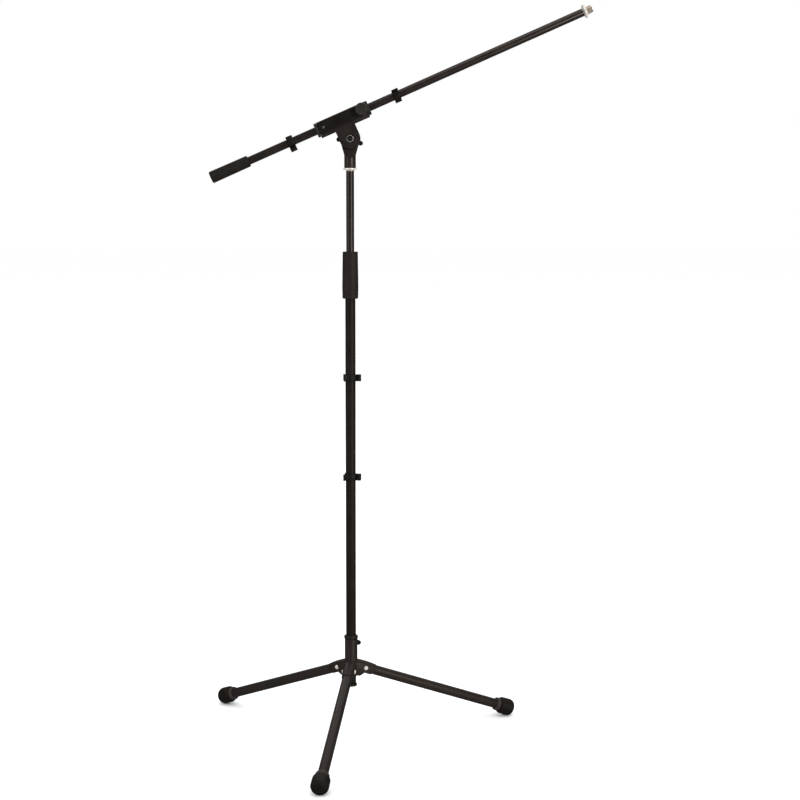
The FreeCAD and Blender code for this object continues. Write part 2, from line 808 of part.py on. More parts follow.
def tilt_bolt():
    """Its hexagon is held in the ear's recess, its thread ends in the handle."""
    head_bottom = -ear_front + bolt_recess_depth
    head = hexagon(bolt_head_flats, head_bottom - bolt_head_height, head_bottom)
    cone_radius = bolt_head_flats / 2 + 2 * bolt_head_chamfer
    cone = turned([
        (0, head_bottom - bolt_head_height), (bolt_head_flats / 2, head_bottom - bolt_head_height),
        (cone_radius, head_bottom - bolt_head_height + bolt_head_chamfer),
        (cone_radius, head_bottom), (0, head_bottom),
    ])
    head = head.common(cone)
    shank = rod(bolt_radius, head_bottom, handle_face + handle_insert_length)
    return on_head(z_to_y(head.fuse(shank)))


def rear_washer():
    washer = tube(rear_washer_radius, bolt_radius + running_fit,
                  rear_washer_face, rear_washer_face + rear_washer_thickness)
    return on_head(z_to_y(washer))


def on_tilt_axis(shape):
    """From a handle about Z to the tilt bolt, its wings set from the level."""
    result = rotated(shape, z_axis, 180 - handle_turn)
    result = moved(result, Vector(0, 0, handle_face))
    return moved(z_to_y(result), Vector(0, 0, tilt_pivot_height))


def tilt_handle():
    knob = wing_knob(
        handle_length, handle_boss_radius, handle_span, handle_tip_radius,
        handle_thickness, handle_wing_droop, handle_round)
    hole = rod(handle_insert_radius + press_gap, -overshoot, handle_length - handle_end_wall)
    return on_tilt_axis(knob.cut(hole))


def handle_insert():
    return on_tilt_axis(tube(handle_insert_radius, bolt_radius + running_fit, 0, handle_insert_length))


# ---- boom

def boom_bush(side):
    """A sleeve half way through the block, with a flange at the block's end."""
    block_end = block_right if side > 0 else -block_left
    inner_end = bush_gap / 2
    flange_start = block_end + moving_gap
    sleeve = tube(bush_radius, bush_bore, inner_end, flange_start)
    flange = tube(bush_flange_radius, bush_bore, flange_start, flange_start + bush_flange)
    rim = flange_start + bush_flange
    flange = rounded_rims(flange, [(rim, bush_flange_radius)], bush_flange_round)
    slit_top = flange_start - bush_flange
    slit = block((-bush_flange_radius, -bush_slit / 2, inner_end - overshoot),
                 (bush_flange_radius, bush_slit / 2, slit_top))
    bush = sleeve.fuse(flange).cut(slit)
    return bush if side > 0 else rotated(bush, x_axis, 180)


def clamp_shoe():
    """The slug that the knob's stud presses on the bush."""
    top = block_half_depth - shoe_length
    slug = Part.makeCylinder(shoe_radius, top, Vector(boom_knob_along, 0, boom_knob_rise), -y_axis)
    hollow = rod_along(x_axis, bush_radius + running_fit,
                       boom_knob_along - 2 * shoe_radius, boom_knob_along + 2 * shoe_radius)
    return on_head(moved(slug.cut(hollow), Vector(0, 0, boom_axis_rise)))


def on_boom_knob(shape):
    """From a shape about Z, rising from the block's front face, to the knob's axis."""
    result = moved(shape, Vector(0, 0, block_half_depth))
    result = rotated(result, x_axis, 90)
    return on_head(moved(result, Vector(boom_knob_along, 0, boom_axis_rise + boom_knob_rise)))


def boom_knob():
    skirt_top = boom_knob_standoff + boom_knob_skirt_length
    top = boom_knob_standoff + boom_knob_length
    skirt = rod(boom_knob_skirt_radius, boom_knob_standoff, skirt_top)
    drum = rod(boom_knob_radius, skirt_top, top)
    drum = rounded_rims(drum, [(top, boom_knob_radius)], boom_knob_round)
    hole = rod(boom_knob_stud_radius + press_gap, 0, boom_knob_stud_rise + press_gap)
    return on_boom_knob(skirt.fuse(drum).cut(hole))


def boom_knob_stud():
    return on_boom_knob(rod(boom_knob_stud_radius, -shoe_length + seat_gap, boom_knob_stud_rise))


def bush_pin():
    """A drive pin through the block's front wall."""
    wall = block_half_depth - block_bore
    pin = rod(bush_pin_radius, -wall + seat_gap, 0)
    head = rod(bush_pin_head_radius, 0, bush_pin_head)
    head = rounded_rims(head, [(bush_pin_head, bush_pin_head_radius)], bush_pin_head_round)
    pin = moved(pin.fuse(head).removeSplitter(), Vector(0, 0, block_half_depth))
    pin = rotated(pin, x_axis, 90)
    return on_head(moved(pin, Vector(bush_pin_along, 0, boom_axis_rise)))


def boom_tube():
    return on_boom(tube(boom_tube_radius, boom_tube_bore, boom_tube_left, boom_tube_right))


def boom_grip():
    """A sleeve closed at its outer end, a little thicker there."""
    end = boom_grip_left
    inner = end + boom_grip_length
    outer = turned([
        (0, end), (boom_grip_radius, end), (boom_grip_radius - boom_grip_taper, inner), (0, inner),
    ])
    rims = [(end, boom_grip_radius), (inner, boom_grip_radius - boom_grip_taper)]
    outer = rounded_rims(outer, rims, boom_grip_end_round)
    hole = rod(boom_tube_radius + press_gap, boom_tube_left - boom_plug_flange, inner + overshoot)
    return on_boom(outer.cut(hole))


def boom_end_plug():
    flange = rod(boom_tube_radius, boom_tube_left - boom_plug_flange, boom_tube_left)
    spigot = tube(boom_tube_bore - press_gap, boom_tube_bore - 2 * boom_tube_wall,
                  boom_tube_left, boom_tube_left + boom_plug_depth)
    return on_boom(flange.fuse(spigot))


def boom_spigot():
    shape = threaded_spigot(boom_tube_radius, boom_tube_bore, boom_stud_length)
    return on_boom(moved(shape, Vector(0, 0, boom_tube_right)))


def boom_lock_ring():
    ring = lock_ring(boom_ring_radius, boom_ring_height - seat_gap)
    return on_boom(moved(ring, Vector(0, 0, boom_ring_seat + seat_gap)))


def thread_adapter():
    """The outer thread that the microphone holder screws on."""
    end = adapter_start + adapter_length
    body = tube(microphone_thread_radius, stud_radius + press_gap, adapter_start, end)
    slot = block((-microphone_thread_radius, -adapter_slot_half_width, end - adapter_slot_depth),
                 (microphone_thread_radius, adapter_slot_half_width, end + overshoot))
    return on_boom(chamfered_rims(body, [(end, microphone_thread_radius)], stud_chamfer).cut(slot))


# ---- cable clips

def arc_ring(bore, wall, mouth_turn, mouth_half_angle, centre):
    """A C in the XY plane; the mouth is a sector about its turn."""
    ring = tube(bore + wall, bore, -clip_length / 2, clip_length / 2)
    reach = 2 * (bore + wall)
    edges = [direction(mouth_turn + s * mouth_half_angle) * reach for s in (-1, 1)]
    far = direction(mouth_turn) * (2 * reach)
    half = clip_length / 2 + overshoot
    sector = polygon_face([
        (0, 0, -half), (edges[0].x, edges[0].y, -half), (far.x, far.y, -half),
        (edges[1].x, edges[1].y, -half),
    ]).extrude(Vector(0, 0, 2 * half))
    return moved(ring.cut(sector), centre)


def cable_clip(tube_radius):
    """About Z at the tube's axis: grips the tube from +X, carries the cable there."""
    bore = tube_radius + running_fit
    grip = arc_ring(bore, clip_wall, 180, clip_mouth, origin)
    lips = []
    for side in (-1, 1):
        tip = direction(180 + side * clip_mouth) * (bore + clip_wall / 2)
        flare = tip + direction(180 + side * clip_lip_lean) * clip_lip_reach
        lips.append(tapered_bar(tip, clip_wall / 2, flare, clip_lip_end_radius,
                                -clip_length / 2, clip_length / 2))
    cable_centre = Vector(bore + clip_wall + cable_radius + cable_wall / 2, 0, 0)
    holder = arc_ring(cable_radius, cable_wall, 0, cable_mouth, cable_centre)
    neck = block((bore + clip_wall / 2, -clip_wall, -clip_length / 2),
                 (bore + clip_wall + cable_wall / 2, clip_wall, clip_length / 2))
    cable_way = rod(cable_radius, -clip_length, clip_length)
    tube_way = rod(bore, -clip_length, clip_length)
    body = grip.fuse(lips + [holder, neck])
    return body.cut([moved(cable_way, cable_centre), tube_way]).removeSplitter()


def mast_clip(height, turn):
    return moved(rotated(cable_clip(lower_tube_radius), z_axis, turn), Vector(0, 0, height))


def boom_clip(place, turn):
    """The turn is about the boom: 0 is towards its underside's far side, -90 is below."""
    clip = rotated(cable_clip(boom_tube_radius), z_axis, turn + 90)
    return on_boom(moved(clip, Vector(0, 0, place)))


# ---- write every piece

def stand():
    pieces = {
        "hub_casting": hub_casting(),
        "hub_liner": hub_liner(),
        "leg_rivets": Part.makeCompound([on_leg(leg_rivet(), turn) for turn in leg_turns]),
        "hub_screw": hub_screw(),
        "hub_knob": hub_knob(),
        "lower_tube": lower_tube(),
        "lower_end_cap": lower_end_cap(),
        "clutch_insert": clutch_insert(),
        "clutch_collet": clutch_collet(),
        "clutch_thrust_ring": thrust_ring(),
        "clutch_shell": clutch_shell(),
        "clutch_grip": clutch_grip(),
        "upper_tube": upper_tube(),
        "upper_tube_plug": upper_tube_plug(),
        "glide_bush": glide_bush(),
        "glide_clip": glide_clip(),
        "mast_spigot": mast_spigot(),
        "head_lock_ring": head_lock_ring(),
        "swivel_socket": swivel_socket(),
        "friction_disc": friction_disc(),
        "clamp_body": clamp_body(),
        "tilt_bolt": tilt_bolt(),
        "rear_washer": rear_washer(),
        "tilt_handle": tilt_handle(),
        "handle_insert": handle_insert(),
        "boom_bush_right": on_boom(boom_bush(1)),
        "boom_bush_left": on_boom(boom_bush(-1)),
        "clamp_shoe": clamp_shoe(),
        "boom_knob": boom_knob(),
        "boom_knob_stud": boom_knob_stud(),
        "bush_pin": bush_pin(),
        "boom_tube": boom_tube(),
        "boom_end_plug": boom_end_plug(),
        "boom_grip": boom_grip(),
        "boom_spigot": boom_spigot(),
        "boom_lock_ring": boom_lock_ring(),
        "thread_adapter": thread_adapter(),
    }
    for name, turn in zip(leg_names, leg_turns):
        pieces["leg_tube_" + name] = on_leg(leg_tube(), turn)
        pieces["leg_knuckle_" + name] = on_leg(leg_knuckle(), turn)
        pieces["foot_boot_" + name] = on_leg(foot_boot(), turn).cut(below_floor())
    for name, height, turn in zip(("upper", "lower"), mast_clip_heights, mast_clip_turns):
        pieces["mast_clip_" + name] = mast_clip(height, turn)
    for name, place, turn in zip(("left", "right"), boom_clip_places, boom_clip_turns):
        pieces["boom_clip_" + name] = boom_clip(place, turn)
    return pieces


os.makedirs("parts", exist_ok=True)
for node, shape in stand().items():
    if not shape.isValid():
        raise ValueError(node + " is not a valid solid")
    shape.exportStep("parts/" + node + ".step")
    print(node, len(shape.Solids), "solid(s)", round(shape.Volume / 1000, 3), "cm3")
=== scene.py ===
import bpy
import json
import math
from mathutils import Matrix, Vector

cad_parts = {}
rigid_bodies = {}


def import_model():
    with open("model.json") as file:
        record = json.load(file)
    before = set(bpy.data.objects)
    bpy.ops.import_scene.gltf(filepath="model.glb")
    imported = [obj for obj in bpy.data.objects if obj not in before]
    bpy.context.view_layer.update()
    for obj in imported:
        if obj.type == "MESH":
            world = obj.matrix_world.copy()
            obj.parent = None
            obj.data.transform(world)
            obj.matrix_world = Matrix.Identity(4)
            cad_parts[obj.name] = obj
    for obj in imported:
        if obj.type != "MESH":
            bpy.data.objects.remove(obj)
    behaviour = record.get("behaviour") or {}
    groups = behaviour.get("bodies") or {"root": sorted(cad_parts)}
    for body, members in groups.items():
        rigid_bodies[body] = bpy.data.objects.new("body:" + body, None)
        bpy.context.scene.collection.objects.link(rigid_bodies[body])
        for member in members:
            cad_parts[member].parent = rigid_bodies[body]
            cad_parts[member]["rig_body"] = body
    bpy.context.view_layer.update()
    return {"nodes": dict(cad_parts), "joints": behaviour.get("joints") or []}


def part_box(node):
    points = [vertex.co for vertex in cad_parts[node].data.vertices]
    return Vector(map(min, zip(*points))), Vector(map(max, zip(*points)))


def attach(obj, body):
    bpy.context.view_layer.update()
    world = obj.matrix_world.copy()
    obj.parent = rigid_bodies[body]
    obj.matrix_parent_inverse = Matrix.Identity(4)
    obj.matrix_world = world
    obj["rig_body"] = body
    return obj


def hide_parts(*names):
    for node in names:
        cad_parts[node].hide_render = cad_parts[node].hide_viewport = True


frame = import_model()
nodes = frame["nodes"]
joints = {joint["name"]: joint for joint in frame["joints"]}
upward = Vector((0, 0, 1))
sideways = Vector((1, 0, 0))
inward = Vector((0, 1, 0))      # from the front of the stand to its back
pinhole = 0.00002               # radius of a ring that is closed over
print("frame loaded:", len(nodes), "nodes")


# ---- places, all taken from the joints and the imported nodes

def seatOn(base, axis, side):
    # local Z runs along the axis, local X is the side squared up to it
    z = Vector(axis).normalized()
    y = z.cross(Vector(side)).normalized()
    x = y.cross(z)
    seat = Matrix((x, y, z)).transposed().to_4x4()
    seat.translation = Vector(base)
    return seat


def pivotOf(joint):
    return Vector(joints[joint]["pos_m"])


def axisOf(joint):
    return Vector(joints[joint]["axis"]).normalized()


def spanOf(node, seat):
    # lowest and highest place of a node along its seat, and its widest radius
    inverse = seat.inverted()
    points = [inverse @ v.co for v in nodes[node].data.vertices]
    heights = [p.z for p in points]
    return min(heights), max(heights), max(math.hypot(p.x, p.y) for p in points)


mastSeat = Matrix.Identity(4)
boomAxis = axisOf("boom_slide")
boomSeat = seatOn(pivotOf("boom_roll"), boomAxis, -inward.cross(boomAxis))
tiltSeat = seatOn(pivotOf("boom_tilt"), inward, sideways)
knobSeat = seatOn(pivotOf("boom_knob_turn"), -inward, boomAxis)
hubScrewSeat = seatOn(pivotOf("hub_clamp_turn"), axisOf("hub_clamp_turn"), upward)


# ---- making pieces

def clearChoice():
    if bpy.context.object and bpy.context.object.mode != "OBJECT":
        bpy.ops.object.mode_set(mode="OBJECT")
    bpy.ops.object.select_all(action="DESELECT")


def takeUp(piece):
    clearChoice()
    piece.select_set(True)
    bpy.context.view_layer.objects.active = piece


def smoothShade(piece, angle=32):
    takeUp(piece)
    bpy.ops.object.shade_smooth_by_angle(angle=math.radians(angle))


def noteSeat(piece, seat):
    # keeps each point's place in the seat, so that a finish can run along the piece
    inverse = seat.inverted()
    notes = piece.data.attributes
    note = notes.get("seat") or notes.new("seat", "FLOAT_VECTOR", "POINT")
    for point, vertex in zip(note.data, piece.data.vertices):
        point.vector = inverse @ vertex.co


def softened(corners, steps=4):
    # corners are (height, radius, rounding); each corner is drawn as a short curve
    rings = []
    for i, (height, radius, rounding) in enumerate(corners):
        corner = Vector((height, radius))
        if rounding <= 0 or i in (0, len(corners) - 1):
            rings.append((height, radius))
            continue
        before = Vector(corners[i - 1][:2]) - corner
        after = Vector(corners[i + 1][:2]) - corner
        start = corner + before.normalized() * min(rounding, before.length * 0.49)
        end = corner + after.normalized() * min(rounding, after.length * 0.49)
        for k in range(steps + 1):
            t = k / steps
            point = start * (1 - t) ** 2 + corner * 2 * t * (1 - t) + end * t ** 2
            rings.append((point.x, point.y))
    return rings


def turnPiece(name, seat, rings, sides=72, teeth=0, toothDepth=0.0):
    # starts from a circle and draws it along its own axis, ring by ring
    clearChoice()
    height, radius = rings[0]
    count = teeth * 4 if teeth else sides
    bpy.ops.mesh.primitive_circle_add(vertices=count, radius=radius, fill_type="NOTHING")
    piece = bpy.context.object
    piece.name = name
    piece.data.name = name
    if teeth:
        for i, vertex in enumerate(piece.data.vertices):
            if i % 4 > 1:
                vertex.co *= 1 - toothDepth
    bpy.ops.object.mode_set(mode="EDIT")
    bpy.ops.mesh.select_all(action="SELECT")
    bpy.ops.transform.translate(value=(0, 0, height))
    for (low, wide), (high, next_) in zip(rings, rings[1:]):
        bpy.ops.mesh.extrude_region_move(TRANSFORM_OT_translate={"value": (0, 0, high - low)})
        scale = next_ / wide
        bpy.ops.transform.resize(value=(scale, scale, 1), center_override=(0, 0, high))
    bpy.ops.mesh.select_all(action="SELECT")
    bpy.ops.mesh.remove_doubles(threshold=0.000002)
    bpy.ops.mesh.fill_holes(sides=0)
    bpy.ops.mesh.select_all(action="SELECT")
    bpy.ops.mesh.normals_make_consistent(inside=False)
    bpy.ops.object.mode_set(mode="OBJECT")
    piece.data.transform(seat)
    noteSeat(piece, seat)
    return piece


def copyNode(name, node, seat, edge=0.0, steps=2, merge=0.00001):
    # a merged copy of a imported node, with its sharp edges broken
    piece = bpy.data.objects.new(name, nodes[node].data.copy())
    piece.data.name = name
    bpy.context.scene.collection.objects.link(piece)
    takeUp(piece)
    bpy.ops.object.mode_set(mode="EDIT")
    bpy.ops.mesh.select_all(action="SELECT")
    bpy.ops.mesh.remove_doubles(threshold=merge)
    bpy.ops.mesh.customdata_custom_splitnormals_clear()
    bpy.ops.mesh.dissolve_limited(angle_limit=math.radians(0.6))
    bpy.ops.object.mode_set(mode="OBJECT")
    if edge:
        bevel = piece.modifiers.new("edges", "BEVEL")
        bevel.width = edge
        bevel.segments = steps
        bevel.limit_method = "ANGLE"
        bevel.angle_limit = math.radians(38)
        bevel.use_clamp_overlap = True
        bevel.harden_normals = False
        bpy.ops.object.modifier_apply(modifier=bevel.name)
    noteSeat(piece, seat)
    return piece


def joinInto(piece, others):
    takeUp(piece)
    for other in others:
        other.select_set(True)
    bpy.ops.object.join()
    return piece


def finishPiece(piece, node, finish, angle=32):
    smoothShade(piece, angle)
    piece.data.materials.clear()
    piece.data.materials.append(finish)
    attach(piece, nodes[node]["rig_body"])
    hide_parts(node)
    return piece


# ---- finishes

def startGroup(name, inputs, outputs):
    group = bpy.data.node_groups.new(name, "ShaderNodeTree")
    for label, kind, value in inputs:
        socket = group.interface.new_socket(label, in_out="INPUT", socket_type=kind)
        if value is not None:
            socket.default_value = value
    for label, kind in outputs:
        group.interface.new_socket(label, in_out="OUTPUT", socket_type=kind)
    source = group.nodes.new("NodeGroupInput")
    target = group.nodes.new("NodeGroupOutput")
    return group, source, target


def addNode(group, kind, links=None, **settings):
    node = group.nodes.new(kind)
    for key, value in settings.items():
        setattr(node, key, value)
    for socket, value in (links or {}).items():
        if hasattr(value, "is_output"):
            group.links.new(value, node.inputs[socket])
        else:
            node.inputs[socket].default_value = value
    return node


def noiseOf(group, place, scale, detail=2.0, roughness=0.5):
    links = {"Vector": place, "Scale": scale, "Detail": detail, "Roughness": roughness}
    return addNode(group, "ShaderNodeTexNoise", links).outputs["Fac"]


def rangeOf(group, value, low, high, toLow, toHigh):
    links = {"Value": value, "From Min": low, "From Max": high, "To Min": toLow, "To Max": toHigh}
    return addNode(group, "ShaderNodeMapRange", links).outputs["Result"]


def mathOf(group, operation, a, b):
    return addNode(group, "ShaderNodeMath", {0: a, 1: b}, operation=operation).outputs[0]


def mixOf(group, share, a, b):
    node = group.nodes.new("ShaderNodeMix")
    node.data_type = "RGBA"
    for socket, value in ((0, share), (6, a), (7, b)):
        if hasattr(value, "is_output"):
            group.links.new(value, node.inputs[socket])
        else:
            node.inputs[socket].default_value = value
    return node.outputs[2]


def bumpOf(group, height, strength, distance):
    links = {"Height": height, "Strength": strength, "Distance": distance}
    return addNode(group, "ShaderNodeBump", links).outputs["Normal"]


finishOutputs = [("Base Color", "NodeSocketColor"), ("Roughness", "NodeSocketFloat"),
                 ("Normal", "NodeSocketVector")]
finishInputs = [("Place", "NodeSocketVector", None), ("Dark", "NodeSocketColor", None),
                ("Light", "NodeSocketColor", None), ("Smooth", "NodeSocketFloat", 0.3),
                ("Rough", "NodeSocketFloat", 0.45), ("Grain", "NodeSocketFloat", 900.0),
                ("Depth", "NodeSocketFloat", 0.00003)]


def endGroup(group, target, colour, roughness, normal):
    group.links.new(colour, target.inputs["Base Color"])
    group.links.new(roughness, target.inputs["Roughness"])
    group.links.new(normal, target.inputs["Normal"])
    return group


def makeCoatGroup():
    # powder coat: orange peel, cloudy gloss, a few pale specks
    group, source, target = startGroup("powderCoat", finishInputs, finishOutputs)
    place = source.outputs["Place"]
    peel = noiseOf(group, place, source.outputs["Grain"], 2.0, 0.45)
    cloud = noiseOf(group, place, 38.0, 3.0, 0.55)
    dust = noiseOf(group, place, 2400.0, 1.0, 0.5)
    specks = rangeOf(group, dust, 0.70, 0.80, 0.0, 0.6)
    tone = mathOf(group, "MAXIMUM", rangeOf(group, cloud, 0.35, 0.7, 0.0, 0.55), specks)
    colour = mixOf(group, tone, source.outputs["Dark"], source.outputs["Light"])
    gloss = rangeOf(group, cloud, 0.3, 0.7, source.outputs["Smooth"], source.outputs["Rough"])
    normal = bumpOf(group, peel, 0.5, source.outputs["Depth"])
    return endGroup(group, target, colour, gloss, normal)


def makeMouldGroup():
    # moulded plastic: spark-eroded texture and rubbed, shinier patches
    group, source, target = startGroup("mouldedGrain", finishInputs, finishOutputs)
    place = source.outputs["Place"]
    cells = addNode(group, "ShaderNodeTexVoronoi", {"Vector": place, "Scale": source.outputs["Grain"]})
    fine = noiseOf(group, place, 5200.0, 2.0, 0.6)
    height = mathOf(group, "ADD", cells.outputs["Distance"], fine)
    patch = noiseOf(group, place, 60.0, 4.0, 0.6)
    tone = rangeOf(group, patch, 0.4, 0.75, 0.0, 0.6)
    colour = mixOf(group, tone, source.outputs["Dark"], source.outputs["Light"])
    gloss = rangeOf(group, patch, 0.35, 0.7, source.outputs["Smooth"], source.outputs["Rough"])
    normal = bumpOf(group, height, 0.35, source.outputs["Depth"])
    return endGroup(group, target, colour, gloss, normal)


def makeRubberGroup():
    # rubber: dull, a little bloom, fine pores
    group, source, target = startGroup("dullRubber", finishInputs, finishOutputs)
    place = source.outputs["Place"]
    pores = noiseOf(group, place, source.outputs["Grain"], 4.0, 0.65)
    bloom = noiseOf(group, place, 110.0, 5.0, 0.65)
    scuff = noiseOf(group, place, 700.0, 3.0, 0.7)
    worn = mathOf(group, "MULTIPLY", rangeOf(group, bloom, 0.45, 0.75, 0.0, 1.0),
                  rangeOf(group, scuff, 0.4, 0.7, 0.2, 1.0))
    colour = mixOf(group, worn, source.outputs["Dark"], source.outputs["Light"])
    gloss = rangeOf(group, bloom, 0.3, 0.7, source.outputs["Rough"], source.outputs["Smooth"])
    normal = bumpOf(group, pores, 0.6, source.outputs["Depth"])
    return endGroup(group, target, colour, gloss, normal)


def makeTurnedGroup():
    # turned and plated metal: lathe lines, faint stains, and a painted highlight that is pale outside a
    # radius
    more = [("PaintedHighlightRadius", "NodeSocketFloat", 1.0), ("Stains", "NodeSocketFloat", 1.0)]
    group, source, target = startGroup("turnedMetal", finishInputs + more, finishOutputs)
    place = source.outputs["Place"]
    parts = addNode(group, "ShaderNodeSeparateXYZ", {0: place})
    flat = addNode(group, "ShaderNodeCombineXYZ", {0: parts.outputs[0], 1: parts.outputs[1]})
    radius = addNode(group, "ShaderNodeVectorMath", {0: flat.outputs[0]}, operation="LENGTH")
    lathe = addNode(group, "ShaderNodeCombineXYZ", {0: radius.outputs["Value"], 1: parts.outputs[2]})
    lines = noiseOf(group, lathe.outputs[0], source.outputs["Grain"], 3.0, 0.7)
    stain = noiseOf(group, place, 240.0, 4.0, 0.6)
    # pale past the radius: a painted highlight standing in for glints on the edges (off at the default
    # radius)
    beyond = mathOf(group, "SUBTRACT", radius.outputs["Value"], source.outputs["PaintedHighlightRadius"])
    clean = mathOf(group, "MULTIPLY", rangeOf(group, stain, 0.35, 0.75, 1.0, 0.0),
                   source.outputs["Stains"])
    tone = mathOf(group, "MAXIMUM", clean, rangeOf(group, beyond, 0.0, 0.0004, 0.0, 1.0))
    colour = mixOf(group, tone, source.outputs["Dark"], source.outputs["Light"])
    mixed = mathOf(group, "MULTIPLY", rangeOf(group, lines, 0.3, 0.7, 0.6, 1.0),
                   rangeOf(group, stain, 0.3, 0.7, 0.8, 1.1))
    gloss = rangeOf(group, mixed, 0.45, 1.1, source.outputs["Smooth"], source.outputs["Rough"])
    normal = bumpOf(group, lines, 0.3, source.outputs["Depth"])
    return endGroup(group, target, colour, gloss, normal)


coatGroup = makeCoatGroup()
mouldGroup = makeMouldGroup()
rubberGroup = makeRubberGroup()
turnedGroup = makeTurnedGroup()


def makeFinish(name, group, values, shader):
    material = bpy.data.materials.new(name)
    material.use_nodes = True
    tree = material.node_tree
    surface = tree.nodes["Principled BSDF"]
    for socket, value in shader.items():
        surface.inputs[socket].default_value = value
    place = tree.nodes.new("ShaderNodeAttribute")
    place.attribute_name = "seat"
    effect = tree.nodes.new("ShaderNodeGroup")
    effect.node_tree = group
    tree.links.new(place.outputs["Vector"], effect.inputs["Place"])
    for socket, value in values.items():
        effect.inputs[socket].default_value = value
    for socket in ("Base Color", "Roughness", "Normal"):
        tree.links.new(effect.outputs[socket], surface.inputs[socket])
    return material


def onObject(finish, name):
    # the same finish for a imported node, which has no seat note
    material = finish.copy()
    material.name = name
    tree = material.node_tree
    place = tree.nodes.new("ShaderNodeTexCoord")
    effect = next(n for n in tree.nodes if n.type == "GROUP")
    tree.nodes.remove(next(n for n in tree.nodes if n.type == "ATTRIBUTE"))
    tree.links.new(place.outputs["Object"], effect.inputs["Place"])
    return material


warmGloss = (1.0, 0.82, 0.72, 1)

tubeCoat = makeFinish("tubeCoat", coatGroup, {
    "Dark": (0.0100, 0.0078, 0.0066, 1), "Light": (0.0185, 0.0150, 0.0130, 1),
    "Smooth": 0.30, "Rough": 0.38, "Grain": 900.0, "Depth": 0.00002,
}, {"Specular IOR Level": 0.5, "Specular Tint": warmGloss, "Coat Weight": 0.15, "Coat Roughness": 0.18})

legCoat = makeFinish("legCoat", coatGroup, {
    "Dark": (0.0125, 0.0097, 0.0083, 1), "Light": (0.0215, 0.0172, 0.0150, 1),
    "Smooth": 0.44, "Rough": 0.54, "Grain": 900.0, "Depth": 0.00002,
}, {"Specular IOR Level": 0.5, "Specular Tint": warmGloss})

mastCoat = makeFinish("mastCoat", coatGroup, {
    "Dark": (0.0062, 0.0046, 0.0037, 1), "Light": (0.0115, 0.0090, 0.0076, 1),
    "Smooth": 0.46, "Rough": 0.56, "Grain": 900.0, "Depth": 0.00003,
}, {"Specular IOR Level": 0.32, "Specular Tint": warmGloss})

castCoat = makeFinish("castCoat", coatGroup, {
    "Dark": (0.0088, 0.0068, 0.0058, 1), "Light": (0.0160, 0.0130, 0.0112, 1),
    "Smooth": 0.40, "Rough": 0.52, "Grain": 1300.0, "Depth": 0.00004,
}, {"Specular IOR Level": 0.38, "Specular Tint": warmGloss})

hubCoat = makeFinish("hubCoat", coatGroup, {
    "Dark": (0.0135, 0.0104, 0.0090, 1), "Light": (0.0240, 0.0195, 0.0170, 1),
    "Smooth": 0.40, "Rough": 0.50, "Grain": 1300.0, "Depth": 0.00004,
}, {"Specular IOR Level": 0.42, "Specular Tint": warmGloss})

collarCoat = makeFinish("collarCoat", coatGroup, {
    "Dark": (0.0105, 0.0083, 0.0071, 1), "Light": (0.0190, 0.0155, 0.0136, 1),
    "Smooth": 0.30, "Rough": 0.38, "Grain": 1300.0, "Depth": 0.00001,
}, {"Specular IOR Level": 0.7, "Specular Tint": warmGloss})

clipPlastic = makeFinish("clipPlastic", mouldGroup, {
    "Dark": (0.0060, 0.0048, 0.0041, 1), "Light": (0.0110, 0.0091, 0.0079, 1),
    "Smooth": 0.48, "Rough": 0.60, "Grain": 2600.0, "Depth": 0.00002,
}, {"Specular IOR Level": 0.3, "Specular Tint": warmGloss})

plasticBlack = makeFinish("plasticBlack", mouldGroup, {
    "Dark": (0.0088, 0.0074, 0.0066, 1), "Light": (0.0160, 0.0138, 0.0124, 1),
    "Smooth": 0.38, "Rough": 0.5, "Grain": 2600.0, "Depth": 0.00003,
}, {"Specular IOR Level": 0.42, "Specular Tint": warmGloss})

knobPlastic = makeFinish("knobPlastic", mouldGroup, {
    "Dark": (0.0165, 0.0148, 0.0130, 1), "Light": (0.0265, 0.0240, 0.0215, 1),
    "Smooth": 0.42, "Rough": 0.55, "Grain": 2600.0, "Depth": 0.00002,
}, {"Specular IOR Level": 0.4, "Specular Tint": warmGloss})

gripBlack = makeFinish("gripBlack", rubberGroup, {
    "Dark": (0.0105, 0.0086, 0.0074, 1), "Light": (0.0210, 0.0178, 0.0158, 1),
    "Smooth": 0.52, "Rough": 0.68, "Grain": 3200.0, "Depth": 0.00005,
}, {"Specular IOR Level": 0.35, "Specular Tint": warmGloss})

rubberBlack = makeFinish("rubberBlack", rubberGroup, {
    "Dark": (0.0080, 0.0066, 0.0058, 1), "Light": (0.0200, 0.0175, 0.0155, 1),
    "Smooth": 0.55, "Rough": 0.75, "Grain": 2300.0, "Depth": 0.00008,
}, {"Specular IOR Level": 0.35, "Specular Tint": warmGloss})

collarRubber = makeFinish("collarRubber", rubberGroup, {
    "Dark": (0.0300, 0.0245, 0.0215, 1), "Light": (0.0520, 0.0440, 0.0390, 1),
    "Smooth": 0.50, "Rough": 0.70, "Grain": 2300.0, "Depth": 0.00006,
}, {"Specular IOR Level": 0.4, "Specular Tint": warmGloss})

nickelPlate = makeFinish("nickelPlate", turnedGroup, {
    "Dark": (0.66, 0.60, 0.53, 1), "Light": (0.86, 0.82, 0.76, 1),
    "Smooth": 0.22, "Rough": 0.36, "Grain": 5200.0, "Depth": 0.00001,
}, {"Metallic": 0.4, "Specular IOR Level": 0.6})

zincPlate = makeFinish("zincPlate", turnedGroup, {
    "Dark": (0.30, 0.28, 0.26, 1), "Light": (0.52, 0.50, 0.47, 1),
    "Smooth": 0.24, "Rough": 0.42, "Grain": 4200.0, "Depth": 0.00001,
}, {"Metallic": 0.6})

pinSteel = makeFinish("pinSteel", turnedGroup, {
    "Dark": (0.040, 0.036, 0.033, 1), "Light": (0.085, 0.078, 0.072, 1),
    "Smooth": 0.30, "Rough": 0.45, "Grain": 5200.0, "Depth": 0.00001,
}, {"Specular IOR Level": 0.6, "Specular Tint": warmGloss})
